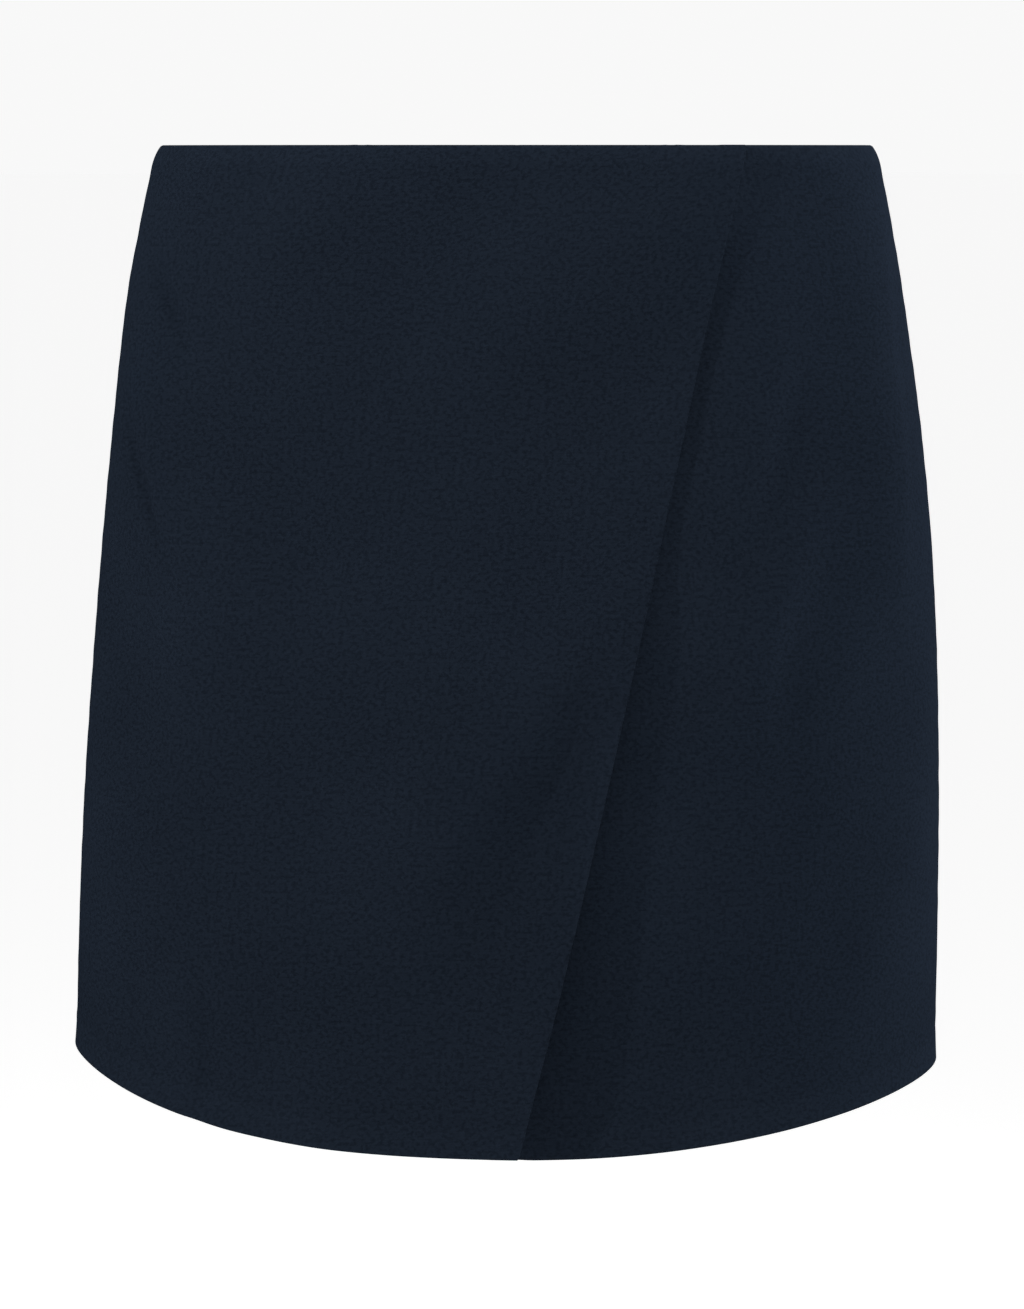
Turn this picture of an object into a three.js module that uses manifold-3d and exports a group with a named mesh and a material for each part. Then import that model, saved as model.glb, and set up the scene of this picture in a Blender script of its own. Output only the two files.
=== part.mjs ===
// A wrap-front skort: two overlapping skirt panels in front of a pair of short trousers, worn and
// filled out with nobody in it. Millimetres, +Z up. The front faces -Y and the wearer's right is -X.
// The origin is the middle of the waist opening, level with its edge.

import * as THREE from 'three';
import { mergeVertices } from 'three/addons/utils/BufferGeometryUtils.js';
import Module from 'manifold-3d';

// Cloth
const WALL = 1.2; // thickness of the cloth
const SEAM_GAP = 0.3; // left open between neighbouring pieces at a seam
const LAYER_GAP = 0.6; // between two layers where they are sewn together

// Drop of each side's hem below the waist edge: at centre front and at the side seam, where the
// shorts' hem meets it, and how late the front hem turns up towards that seam
const HEMS = {
  right: { front: 382.8, side: 360.5, curve: 3.2 },
  left: { front: 387, side: 367, curve: 2.1 },
};
const LENGTH = 386; // nominal length at centre front

// Outer line of the garment: half widths and depths at each height, from waist to hem
const BODY_LINE = [
  { z: 0, right: 143.5, left: 143.5, front: 90, back: 98 },
  { z: -30, right: 150, left: 149.5, front: 95, back: 105 },
  { z: -62, right: 156, left: 155, front: 99, back: 113 },
  { z: -127, right: 163.5, left: 164, front: 107, back: 124 },
  { z: -191, right: 169.5, left: 169, front: 112, back: 130 },
  { z: -257, right: 174.6, left: 171, front: 115, back: 128 },
  { z: -320, right: 177.6, left: 170.8, front: 118, back: 124 },
  { z: -386, right: 179.6, left: 170, front: 120, back: 122 },
];
const ROUNDNESS = 2.15; // 2 is an ellipse, and more is squarer

// Wrap panel: its free edge is straight, from the waist down to the middle of the hem
const FREE_EDGE_TOP = 87.6; // distance to the wearer's left of centre at the waist
const FREE_EDGE_BOTTOM = -0.2; // and at the hem
const EDGE_LIFT = 20; // how far the free edge stands off the panel under it, low down
const CORNER_DROP = 0.3; // share of that lift which the free corner loses again by the hem
const UNDER_EDGE = 58; // the under panel reaches this far past centre, to the wearer's right

// Shorts
const RISE_TURN = { front: -205, back: -190 }; // where the centre seams begin to turn under
const CROTCH = -286;
const INSEAM_SPREAD = 13; // from centre to each inseam at the hem
const THIGH_CREST = 0.6; // where each leg begins to turn in, as a share of the half width
const THIGH_ROUNDNESS = 2.5; // of the leg's inner half, where 2 is an ellipse
const SHORTS_EASE = 4; // how far the shorts' front hangs inside the skirt panels at the hem

// Largest folds of the front panels: a soft trough (depth < 0) or ridge along a line, which fades
// out over FADE of its length past each end
const FADE = 0.3;
const FOLDS = [
  { panel: 'wrap', x0: 28, z0: -186, x1: -57, z1: -312, reach: 22, depth: 4.6 },
  { panel: 'wrap', x0: 27, z0: -212, x1: -27, z1: -342, reach: 14, depth: -5.4 },
  { panel: 'wrap', x0: -20, z0: -163, x1: -35, z1: -290, reach: 19, depth: 4.2 },
  { panel: 'wrap', x0: -89, z0: -194, x1: -62, z1: -290, reach: 23, depth: -1.3 },
  { panel: 'under', x0: 112, z0: -62, x1: 78, z1: -158, reach: 12, depth: 1.4 },
  { panel: 'under', x0: 113, z0: -142, x1: 88, z1: -211, reach: 13, depth: 1.2 },
  { panel: 'under', x0: 101, z0: -42, x1: 63, z1: -133, reach: 11, depth: -0.5 },
];

// Zip at the centre back: sizes across, along the seam and out from the cloth
const ZIP_DROP = 9; // from the waist edge to the hinge of the pull tab
const SLIDER = { width: 5.2, above: 4.2, below: 4.6, base: 1.1, corner: 1.6 };
const BRIDGE = { width: 1.5, outer: 2.3, hollow: 1.35, height: 2.3 };
const TAB = { width: 5.4, neck: 4.4, shoulder: 4, length: 17, thickness: 1, bar: 0.9, eye: 1 };
const TAB_WINDOW = { length: 3, play: 0.45 }; // play on each side of the bridge

const cloth = new THREE.MeshStandardMaterial({ color: 0x19212b, roughness: 0.9, metalness: 0 });
const enamel = new THREE.MeshStandardMaterial({ color: 0x141b26, roughness: 0.4, metalness: 0.3 });

const wasm = await Module();
wasm.setup();

const clamp01 = (t) => Math.min(1, Math.max(0, t));
const smooth = (low, high, value) => THREE.MathUtils.smoothstep(value, low, high);
const mix = THREE.MathUtils.lerp;

// Half widths and depths of the body line at a height, on a smooth curve through its rows
function bodyLine(z) {
  const row = (i) => BODY_LINE[Math.min(BODY_LINE.length - 1, Math.max(0, i))];
  const below = BODY_LINE.findIndex((entry) => entry.z < z);
  const i = below < 0 ? BODY_LINE.length - 2 : Math.max(0, below - 1);
  const [before, from, to, after] = [row(i - 1), row(i), row(i + 1), row(i + 2)];
  const step = to.z - from.z;
  const t = (z - from.z) / step;
  const along = (key) => {
    const slopeFrom = ((to[key] - before[key]) / (to.z - before.z)) * step;
    const slopeTo = ((after[key] - from[key]) / (after.z - from.z)) * step;
    return (
      (2 * t ** 3 - 3 * t ** 2 + 1) * from[key] +
      (t ** 3 - 2 * t ** 2 + t) * slopeFrom +
      (3 * t ** 2 - 2 * t ** 3) * to[key] +
      (t ** 3 - t ** 2) * slopeTo
    );
  };
  return { right: along('right'), left: along('left'), front: along('front'), back: along('back') };
}

// Depth of the round section at a distance from centre, as a share of its greatest depth
const roundDepth = (share) => (1 - clamp01(Math.abs(share)) ** ROUNDNESS) ** (1 / ROUNDNESS);

// Angle round the front, from 0 at the wearer's right side seam to PI at the left one
const angleAtShare = (share) => Math.acos(Math.sign(share) * Math.abs(share) ** (ROUNDNESS / 2));
const seamAngle = (depth) => Math.asin((SEAM_GAP / 2 / depth) ** (ROUNDNESS / 2));

// Point on the front at an angle and height, moved out from the body line
function frontPoint(angle, z, out) {
  const line = bodyLine(z);
  const half = (angle < Math.PI / 2 ? line.right : line.left) + out;
  const across = -Math.sign(Math.cos(angle)) * Math.abs(Math.cos(angle)) ** (2 / ROUNDNESS);
  const depth = Math.abs(Math.sin(angle)) ** (2 / ROUNDNESS);
  return new THREE.Vector3(across * half, -depth * (line.front + out), z);
}

// Height of a front panel's hem at an angle: lowest at centre front, turned up at the sides
function frontHem(hem, angle) {
  const share = Math.abs(Math.cos(angle)) ** (2 / ROUNDNESS);
  return mix(-hem.front, -hem.side, share ** hem.curve);
}

// Sum of one panel's soft troughs and ridges at a place on it
function foldDepth(panel, x, z) {
  let sum = 0;
  for (const fold of FOLDS.filter((row) => row.panel === panel)) {
    const dx = fold.x1 - fold.x0;
    const dz = fold.z1 - fold.z0;
    const length = Math.hypot(dx, dz);
    const along = ((x - fold.x0) * dx + (z - fold.z0) * dz) / length ** 2;
    const aside = ((x - fold.x0) * dz - (z - fold.z0) * dx) / length;
    const ends = smooth(-FADE, 0.5 - FADE / 2, along) * (1 - smooth(0.5 + FADE / 2, 1 + FADE, along));
    sum += fold.depth * ends * Math.exp(-((aside / fold.reach) ** 2));
  }
  return sum;
}

// Outward normal of a surface, from short steps along its two directions
function outwardNormal(surface, u, v, turn) {
  const step = 0.008;
  const across = surface(Math.min(1, u + step), v).sub(surface(Math.max(0, u - step), v));
  const down = surface(u, Math.min(1, v + step)).sub(surface(u, Math.max(0, v - step)));
  return across.cross(down).normalize().multiplyScalar(turn);
}

// Closed wall of cloth. surface(u, v) is its outer face, u across and v down, and the inner face
// lies WALL inside it. turn is 1 where u x v already points outwards, and -1 where it points in.
function clothWall(name, surface, columns, rows, turn) {
  const outer = [];
  const inner = [];
  for (let row = 0; row <= rows; row++) {
    for (let column = 0; column <= columns; column++) {
      const [u, v] = [column / columns, row / rows];
      const point = surface(u, v);
      outer.push(point);
      inner.push(point.clone().addScaledVector(outwardNormal(surface, u, v, turn), -WALL));
    }
  }
  const faces = [];
  const quad = (a, b, c, d) => faces.push(...(turn > 0 ? [a, b, c, a, c, d] : [a, c, b, a, d, c]));
  const at = (row, column) => row * (columns + 1) + column;
  const under = outer.length;
  for (let row = 0; row < rows; row++) {
    for (let column = 0; column < columns; column++) {
      const corners = [at(row, column), at(row, column + 1), at(row + 1, column + 1), at(row + 1, column)];
      quad(...corners);
      quad(...corners.reverse().map((corner) => corner + under));
    }
    const [left, right] = [at(row, 0), at(row, columns)];
    const [leftBelow, rightBelow] = [at(row + 1, 0), at(row + 1, columns)];
    quad(left, leftBelow, leftBelow + under, left + under);
    quad(rightBelow, right, right + under, rightBelow + under);
  }
  for (let column = 0; column < columns; column++) {
    const [top, topNext] = [at(0, column), at(0, column + 1)];
    const [foot, footNext] = [at(rows, column), at(rows, column + 1)];
    quad(topNext, top, top + under, topNext + under);
    quad(foot, footNext, footNext + under, foot + under);
  }
  const geometry = new THREE.BufferGeometry().setFromPoints([...outer, ...inner]);
  geometry.setIndex(faces);
  geometry.computeVertexNormals();
  return named(name, geometry, cloth);
}

function named(name, geometry, material) {
  const mesh = new THREE.Mesh(geometry, material);
  mesh.name = name;
  return mesh;
}

// Front wrap panel: u from the right side seam to the free edge, v from waist to hem
function wrapSurface(u, v) {
  const edgeAngle = (z) => {
    const x = mix(FREE_EDGE_TOP, FREE_EDGE_BOTTOM, -z / LENGTH);
    return Math.PI - angleAtShare(x / bodyLine(z).left);
  };
  const start = seamAngle(bodyLine(0).front);
  const z = v * frontHem(HEMS.right, mix(start, edgeAngle(-LENGTH), u));
  const angle = mix(start, edgeAngle(z), u);
  const x = frontPoint(angle, z, 0).x;
  const overUnder = (WALL + LAYER_GAP) * smooth(-1.7 * UNDER_EDGE, -1.1 * UNDER_EDGE, x);
  const lift = EDGE_LIFT * v ** 1.87 * (1 - CORNER_DROP * smooth(0.85, 1, v)) * u ** 2.3;
  return frontPoint(angle, z, overUnder + lift + foldDepth('wrap', x, z) * smooth(0, 0.1, u));
}

// Front under panel: u from the left side seam to its hidden edge, v from waist to hem
function underSurface(u, v) {
  const start = Math.PI - seamAngle(bodyLine(0).front);
  const hiddenAngle = (z) => angleAtShare(UNDER_EDGE / bodyLine(z).right);
  const z = v * frontHem(HEMS.left, mix(start, hiddenAngle(-LENGTH), u));
  const angle = mix(start, hiddenAngle(z), u);
  const x = frontPoint(angle, z, 0).x;
  return frontPoint(angle, z, foldDepth('under', x, z) * smooth(0, 0.1, u));
}

// One quarter of the shorts: u from the side seam to the centre seam and inseam, v from waist to
// hem. Above the rise turn it follows the body line, and then its middle turns under to the crotch.
function shortsSurface(side, face) {
  const front = face === 'front';
  const hem = -HEMS[side].side;
  const [turnStart, legStart] = [0.42, 0.8]; // shares of v where the turn and the leg begin
  return (u, v) => {
    const rise = RISE_TURN[face];
    const under = Math.sin((clamp01((v - turnStart) / (legStart - turnStart)) * Math.PI) / 2);
    const legShare = clamp01((v - legStart) / (1 - legStart));
    const z = v < turnStart ? (v / turnStart) * rise : mix(mix(rise, CROTCH, under), hem, legShare);
    const inset = front ? WALL + LAYER_GAP + SHORTS_EASE * smooth(0, 1, z / hem) : 0;
    const line = bodyLine(z);
    const half = line[side] - inset;
    const inseam = SEAM_GAP / 2 + INSEAM_SPREAD * Math.sin((legShare * Math.PI) / 2);
    const x = mix(half, inseam, (1 - Math.cos(Math.PI * u)) / 2);
    const towardsMiddle = clamp01((THIGH_CREST * half - x) / (THIGH_CREST * half - inseam));
    const turned = mix(Math.sin((under * Math.PI) / 2), under, towardsMiddle ** 1.5);
    const kept = (1 - (turned * towardsMiddle) ** THIGH_ROUNDNESS) ** (1 / THIGH_ROUNDNESS);
    const y = SEAM_GAP / 2 + (line[face] - inset) * roundDepth(x / half) * kept;
    return new THREE.Vector3(side === 'left' ? x : -x, front ? -y : y, z);
  };
}

// Exact solid of a closed geometry, for joining
function solidOf(geometry) {
  geometry.deleteAttribute('normal');
  geometry.deleteAttribute('uv');
  const merged = mergeVertices(geometry);
  return new wasm.Manifold(
    new wasm.Mesh({
      numProp: 3,
      vertProperties: new Float32Array(merged.attributes.position.array),
      triVerts: new Uint32Array(merged.index.array),
    }),
  );
}

function geometryOf(solid) {
  const mesh = solid.getMesh();
  const geometry = new THREE.BufferGeometry();
  geometry.setAttribute('position', new THREE.BufferAttribute(mesh.vertProperties, 3));
  geometry.setIndex(new THREE.BufferAttribute(mesh.triVerts, 1));
  geometry.computeVertexNormals();
  return geometry;
}

// Outline with round corners, x from -width/2 to width/2 and y from low to high
function roundedShape(width, low, high, corner) {
  const half = width / 2;
  const shape = new THREE.Shape();
  shape.moveTo(-half + corner, low);
  shape.lineTo(half - corner, low);
  shape.absarc(half - corner, low + corner, corner, -Math.PI / 2, 0);
  shape.lineTo(half, high - corner);
  shape.absarc(half - corner, high - corner, corner, 0, Math.PI / 2);
  shape.lineTo(-half + corner, high);
  shape.absarc(-half + corner, high - corner, corner, Math.PI / 2, Math.PI);
  shape.lineTo(-half, low + corner);
  shape.absarc(-half + corner, low + corner, corner, Math.PI, 1.5 * Math.PI);
  return shape;
}

// Slider body: a base plate on the seam, and an arched bridge that holds the pull tab's bar.
// Local frame: x across, y up the seam and z out from the cloth, with y = 0 at the hinge.
function zipSlider() {
  const options = { depth: SLIDER.base, bevelEnabled: false, curveSegments: 5 };
  const plateShape = roundedShape(SLIDER.width, -SLIDER.below, SLIDER.above, SLIDER.corner);
  const plate = new THREE.ExtrudeGeometry(plateShape, options).translate(0, 0, SEAM_GAP);
  const foot = SEAM_GAP + SLIDER.base / 2 - BRIDGE.height;
  const arch = new THREE.Shape();
  arch.moveTo(BRIDGE.outer, foot);
  arch.lineTo(BRIDGE.outer, 0);
  arch.absarc(0, 0, BRIDGE.outer, 0, Math.PI);
  arch.lineTo(-BRIDGE.outer, foot);
  arch.lineTo(-BRIDGE.hollow, foot);
  arch.lineTo(-BRIDGE.hollow, 0);
  arch.absarc(0, 0, BRIDGE.hollow, Math.PI, 0, true);
  arch.lineTo(BRIDGE.hollow, foot);
  const across = { depth: BRIDGE.width, bevelEnabled: false, curveSegments: 10 };
  const bridge = new THREE.ExtrudeGeometry(arch, across);
  bridge.translate(0, 0, -BRIDGE.width / 2);
  bridge.rotateX(Math.PI / 2).rotateZ(Math.PI / 2).translate(0, 0, BRIDGE.height);
  return named('zip_slider', geometryOf(solidOf(plate).add(solidOf(bridge))), enamel);
}

// Pull tab: a flat drop with a window for the bridge and an eye near its tip
function zipPullTab() {
  const drop = new THREE.Shape();
  const [neck, belly] = [TAB.neck / 2, TAB.width / 2];
  const tip = -TAB.length + belly;
  drop.moveTo(-neck, TAB.bar / 2);
  drop.lineTo(-neck, -TAB.shoulder);
  drop.lineTo(-belly, tip);
  drop.absarc(0, tip, belly, Math.PI, 2 * Math.PI);
  drop.lineTo(neck, -TAB.shoulder);
  drop.lineTo(neck, TAB.bar / 2);
  const window = new THREE.Path();
  const side = BRIDGE.width / 2 + TAB_WINDOW.play;
  window.moveTo(-side, -TAB.bar / 2);
  window.lineTo(side, -TAB.bar / 2);
  window.lineTo(side, -TAB_WINDOW.length);
  window.lineTo(-side, -TAB_WINDOW.length);
  const eye = new THREE.Path();
  eye.absarc(0, tip, TAB.eye, 0, 2 * Math.PI);
  drop.holes.push(window, eye);
  const options = { depth: TAB.thickness, bevelEnabled: false, curveSegments: 12 };
  const geometry = new THREE.ExtrudeGeometry(drop, options);
  geometry.translate(0, 0, BRIDGE.height - TAB.thickness / 2);
  return named('zip_pull_tab', geometry, enamel);
}

// The zip's parts lie on the centre back, in line with the slope of the cloth there
function zip() {
  const [top, tip] = [-ZIP_DROP + SLIDER.above, -ZIP_DROP - TAB.length];
  const slope = Math.atan2(bodyLine(tip).back - bodyLine(top).back, top - tip);
  const group = new THREE.Group();
  group.add(zipSlider(), zipPullTab());
  group.rotation.set(Math.PI / 2 - slope, 0, Math.PI, 'ZXY');
  group.position.set(0, bodyLine(-ZIP_DROP).back, -ZIP_DROP);
  return group;
}

const skort = new THREE.Group();
skort.add(clothWall('front_wrap_panel', wrapSurface, 28, 24, -1));
skort.add(clothWall('front_under_panel', underSurface, 20, 24, 1));
for (const side of ['right', 'left']) {
  for (const face of ['front', 'back']) {
    const turn = (side === 'right') === (face === 'front') ? -1 : 1;
    skort.add(clothWall(`shorts_${face}_${side}`, shortsSurface(side, face), 12, 22, turn));
  }
}
skort.add(zip());
skort.updateMatrixWorld(true);

export default skort;
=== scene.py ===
import math
from collections import namedtuple

import bmesh
import bpy
import numpy as np
from mathutils import Matrix, Vector


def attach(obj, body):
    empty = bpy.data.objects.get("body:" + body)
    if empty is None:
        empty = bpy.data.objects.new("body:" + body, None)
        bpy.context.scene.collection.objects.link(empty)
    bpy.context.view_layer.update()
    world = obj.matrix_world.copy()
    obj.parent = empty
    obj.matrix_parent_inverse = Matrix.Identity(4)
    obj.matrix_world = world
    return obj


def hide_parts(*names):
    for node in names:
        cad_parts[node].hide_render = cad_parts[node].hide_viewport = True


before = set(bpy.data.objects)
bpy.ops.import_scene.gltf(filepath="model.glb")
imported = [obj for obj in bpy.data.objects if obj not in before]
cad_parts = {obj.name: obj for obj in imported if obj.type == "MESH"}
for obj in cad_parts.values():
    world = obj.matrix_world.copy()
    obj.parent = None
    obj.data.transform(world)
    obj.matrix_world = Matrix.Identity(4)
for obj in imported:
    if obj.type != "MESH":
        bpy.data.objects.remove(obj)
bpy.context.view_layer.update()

# A wrap-front skort: two overlapping skirt panels in front of a pair of short trousers, worn and
# filled out with nobody in it. Sizes are in millimetres and MM makes them metres. +Z is up, the
# front faces -Y and the wearer's right is -X. The origin is the middle of the waist opening.
MM = 0.001

# ---------------------------------------------------------------- the garment's form

Section = namedtuple("Section", "z right left front back")
BODY_LINE = [
    Section(0, 143.5, 143.5, 90, 98),
    Section(-30, 150, 149.5, 95, 105),
    Section(-62, 156, 155, 99, 113),
    Section(-127, 163.5, 164, 107, 124),
    Section(-191, 169.5, 169, 112, 130),
    Section(-257, 174.6, 171, 115, 128),
    Section(-320, 177.6, 170.8, 118, 124),
    Section(-386, 179.6, 170, 120, 122),
]
ROUNDNESS = 2.15

Hem = namedtuple("Hem", "front side curve")
HEMS = {"right": Hem(383.6, 360.5, 3.2), "left": Hem(387, 367, 2.1)}
LENGTH = 386

FREE_EDGE_TOP = 87.6
FREE_EDGE_BOTTOM = -0.2
EDGE_LIFT = 20
CORNER_DROP = 0.3        # share of the lift that the free corner loses again by the hem
UNDER_EDGE = 58
HIDDEN_RISE = 5          # how much shorter the under panel is where the wrap hides it
HIDDEN_FROM, HIDDEN_FULL = 0.82, 0.94    # where across the under panel its hem rises
LAYER = 1.8              # one layer of cloth and the space to the next
LAYER_FROM, LAYER_FULL = -1.7 * UNDER_EDGE, -1.1 * UNDER_EDGE    # the wrap climbs the under panel

RISE_TURN = {"front": -205, "back": -190}
CROTCH = -286
INSEAM_SPREAD = 13
THIGH_CREST = 0.6
THIGH_ROUNDNESS = 2.5
SHORTS_EASE = 4

CLOTH = 1.0              # thickness of one layer
TURNING = 0.55           # what a turned edge or a seam allowance adds inside
HEM_TURNING = 11
SEAM_ALLOWANCE = 10
WAIST_TURNING = 8
WAIST_ROLL = 2.4         # how far the waist edge curls in
WAIST_ROLL_LENGTH = 10.5
HEM_KICK = 0.12          # slope of the turned hem, which stands off a little
HEM_BEND = 0.8
SIDE_FADE = 42           # creases run out this far from the side seams
SEAM_ROLL = 0.9          # radius of the cloth's turn into a seam
ALLOWANCE_SWELL = 0.2    # how far pressed seam allowances show on the face
TURNING_SWELL = 0.12     # the same of the turned hem, and of the turned free edge
EDGE_SWELL = 0.15
STITCH_DENT = 0.08       # how far the hem's stitches draw the face in
PUCKER = 0.12            # waves beside a sewn seam
WAVE_COUNT = 16          # slow, shallow waves all over the cloth
WAVE_SIZES = (22, 90)
WAVE_LEAN = 1.1
WAVE_SLOPE = 0.0021
SHORTS_FOLLOW = 0.8      # how much of the troughs over them the shorts take over
END_STEPS = {"columns": 0.2, "rows": 0.3}    # a grid's first and last steps, next to its others
EDGE_BULGE = 0.6

# Creases. Each runs down from (x0, z0) to (x1, z1), reaches so far to its left and right
# in the x-z plane (left is -x), bows to the left in its middle and may spread towards its end.
# depth < 0 is a trough, and > 0 a ridge. It fades in and out between these shares of its length.
FADE_IN, FADE_OUT = (-0.25, 0.35), (0.65, 1.25)
Crease = namedtuple("Crease", "x0 z0 x1 z1 left right bow depth spread", defaults=[0])
CREASES = {
    "front_wrap_panel": [
        # the main fold: a ridge and the trough beside it, fanning out from the hip
        Crease(28, -186, -57, -312, 33, 13, 2, 5.6, 0),
        Crease(27, -212, -27, -342, 12, 12, -4, -6.0, 0.7),
        Crease(-20, -163, -35, -290, 18, 20, -2, 4.0, 0),
        Crease(34, -188, 8, -264, 7, 6, 0, -2.0, 0),
        # soft drags from the free edge towards the far hip
        Crease(64, -40, 20, -170, 25, 25, 0, -4.2, 0.4),
        Crease(4, -48, -50, -127, 24, 22, -1, 3.2, 0),
        Crease(-55, -102, -87, -170, 22, 21, -3, -2.4, 0.4),
        Crease(-121, -105, -41, -192, 25, 27, 1, -4.3, 0),
        Crease(-89, -194, -62, -290, 20, 26, 8, -2.4, -0.3),
        Crease(-130, -6, -76, -58, 29, 23, 0, 2.6, 0.4),
        # beside the side seam
        Crease(-155, -92, -139, -158, 1.8, 3, 1.2, -2.8, 0),
        Crease(-144, -40, -127, -78, 2.6, 4, 1, -2.8, 0),
        Crease(-124, -140, -177, -258, 18, 20, 3, -2.6, 0.3),
        Crease(-168, -153, -140, -266, 14, 16, 0, -4.0, 0),
        Crease(-152, -76, -108, -180, 20, 20, 2, 3.2, 0),
        # above the hem
        Crease(-122, -322, -125, -376, 4, 9, -1, -2.6, 0),
        Crease(-150, -310, -127, -370, 11, 19, 6, -4.0, 0),
    ],
    "front_under_panel": [
        # the hollow beside the free edge, and the drag from the hip that bounds it
        Crease(86, -28, 60, -136, 10, 11, 0, -2.1, -0.3),
        Crease(90, 40, 91, -38, 11, 15, 0, -1.7, 0),
        Crease(101, -72, 78, -165, 8, 10, 0, 2.0, 0),
        Crease(112, -92, 90, -170, 9, 10, 0, -1.8, 0),
        Crease(113, -142, 88, -211, 7, 9, -1, 1.8, 0),
        Crease(118, -200, 114, -264, 7, 15, 1, 1.0, 0),
        Crease(100, -152, 92, -232, 10, 13, 5, 3.6, -0.4),
        # beside the side seam
        Crease(140, -2, 147, -170, 18, 5.5, -1, 3.0, 0),
        Crease(140, -100, 158, -190, 20, 22, 2, 3.4, 0.2),
        # above the hem
        Crease(67, -256, 101, -348, 18, 24, 0, -2.1, 0.3),
        Crease(155, -246, 114, -330, 17, 14, 2, -3.0, 0.4),
    ],
    "shorts_back_right": [
        # small of the back
        Crease(-12, -26, -78, -40, 7, 9, -4, -1.4),
        Crease(-30, -52, -112, -58, 9, 12, -5, -1.2),
        # hip
        Crease(-150, -96, -100, -146, 12, 8, 4, -2.0),
        Crease(-160, -176, -112, -226, 14, 9, 4, -2.2),
        # seat
        Crease(-34, -228, -98, -212, 12, 10, -4, 1.5),
        Crease(-26, -250, -112, -238, 14, 17, -8, -2.4),
        Crease(-18, -276, -84, -286, 6, 11, -4, -2.2),
        # leg
        Crease(-112, -250, -128, -400, 13, 20, 3, -3.2, 0.3),
        Crease(-86, -292, -92, -404, 12, 12, 0, 2.4, 0.3),
        Crease(-58, -288, -62, -400, 9, 14, 0, -2.9, 0.3),
        Crease(-24, -296, -40, -350, 6, 8, 1, -1.8),
        Crease(-154, -262, -150, -398, 8, 11, 0, -1.8),
    ],
    "shorts_back_left": [
        # small of the back
        Crease(14, -30, 64, -38, 8, 7, 3, -1.2),
        Crease(26, -60, 118, -50, 12, 9, 6, -1.3),
        # hip
        Crease(152, -84, 108, -140, 8, 13, -3, -1.9),
        Crease(160, -190, 120, -232, 9, 13, -3, -2.1),
        # seat
        Crease(36, -226, 92, -206, 10, 12, 4, 1.4),
        Crease(22, -246, 106, -246, 17, 14, 8, -2.5),
        Crease(18, -270, 72, -292, 11, 6, 3, -2.2),
        # leg
        Crease(116, -244, 136, -400, 20, 13, -3, -3.0, 0.3),
        Crease(88, -300, 96, -404, 12, 12, 0, 2.6, 0.3),
        Crease(60, -286, 68, -400, 14, 9, 0, -3.1, 0.3),
        Crease(22, -296, 38, -352, 8, 6, -1, -1.6),
        Crease(152, -270, 146, -396, 10, 8, 0, -1.7),
    ],
    "shorts_front_right": [
        Crease(-12, -244, -84, -222, 8, 12, 4, -1.2),
        Crease(-20, -276, -90, -288, 7, 11, 3, -1.4),
    ],
    "shorts_front_left": [
        Crease(12, -240, 80, -216, 8, 12, -4, -1.2),
        Crease(18, -274, 86, -292, 7, 11, -3, -1.4),
    ],
}
Dart = namedtuple("Dart", "x_top x_point length")
DART_GROOVE = {"depth": 0.5, "width": 0.9}
DART_SWELL = {"height": 0.3, "width": 6.0}
BACK_DARTS = {
    "shorts_back_right": [Dart(-66, -70, 112)],
    "shorts_back_left": [Dart(66, 70, 112)],
}


def mix(low, high, share):
    return low + (high - low) * share


def smooth(low, high, value):
    """A soft step from 0 to 1."""
    t = np.clip((value - low) / (high - low), 0, 1)
    return t * t * (3 - 2 * t)


def body_line(z):
    """Half widths and depths at the heights z, on a smooth curve through BODY_LINE."""
    table = np.array(BODY_LINE, dtype=float)
    drop = -table[:, 0]
    at = np.clip(np.searchsorted(drop, -z, side="right") - 1, 0, len(drop) - 2)
    before = np.maximum(np.arange(len(drop)) - 1, 0)
    after = np.minimum(np.arange(len(drop)) + 1, len(drop) - 1)
    slopes = (table[after] - table[before]) / (drop[after] - drop[before])[:, None]
    step = drop[at + 1] - drop[at]
    t = (-z - drop[at]) / step
    columns = []
    for key in range(5):
        columns.append(
            (2 * t**3 - 3 * t**2 + 1) * table[at, key]
            + (t**3 - 2 * t**2 + t) * slopes[at, key] * step
            + (3 * t**2 - 2 * t**3) * table[at + 1, key]
            + (t**3 - t**2) * slopes[at + 1, key] * step
        )
    return Section(*columns)


def round_depth(share):
    return (1 - np.clip(np.abs(share), 0, 1) ** ROUNDNESS) ** (1 / ROUNDNESS)


def angle_at(share):
    """Angle round the front of a place across it, 0 at the right side seam and pi at the left."""
    return np.arccos(np.sign(share) * np.abs(share) ** (ROUNDNESS / 2))


def front_point(angle, z, out):
    """Points on the front at an angle and height, moved out from the body line."""
    line = body_line(z)
    half = np.where(angle < math.pi / 2, line.right, line.left) + out
    across = -np.sign(np.cos(angle)) * np.abs(np.cos(angle)) ** (2 / ROUNDNESS)
    depth = np.abs(np.sin(angle)) ** (2 / ROUNDNESS)
    return np.stack([across * half, -depth * (line.front + out), z], axis=-1)


def front_hem(hem, angle):
    share = np.abs(np.cos(angle)) ** (2 / ROUNDNESS)
    return mix(-hem.front, -hem.side, share**hem.curve)


def edge_lift(u, v):
    """How far the free side stands off what is under it."""
    return EDGE_LIFT * v**1.87 * (1 - CORNER_DROP * smooth(0.85, 1, v)) * u**2.3


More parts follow.
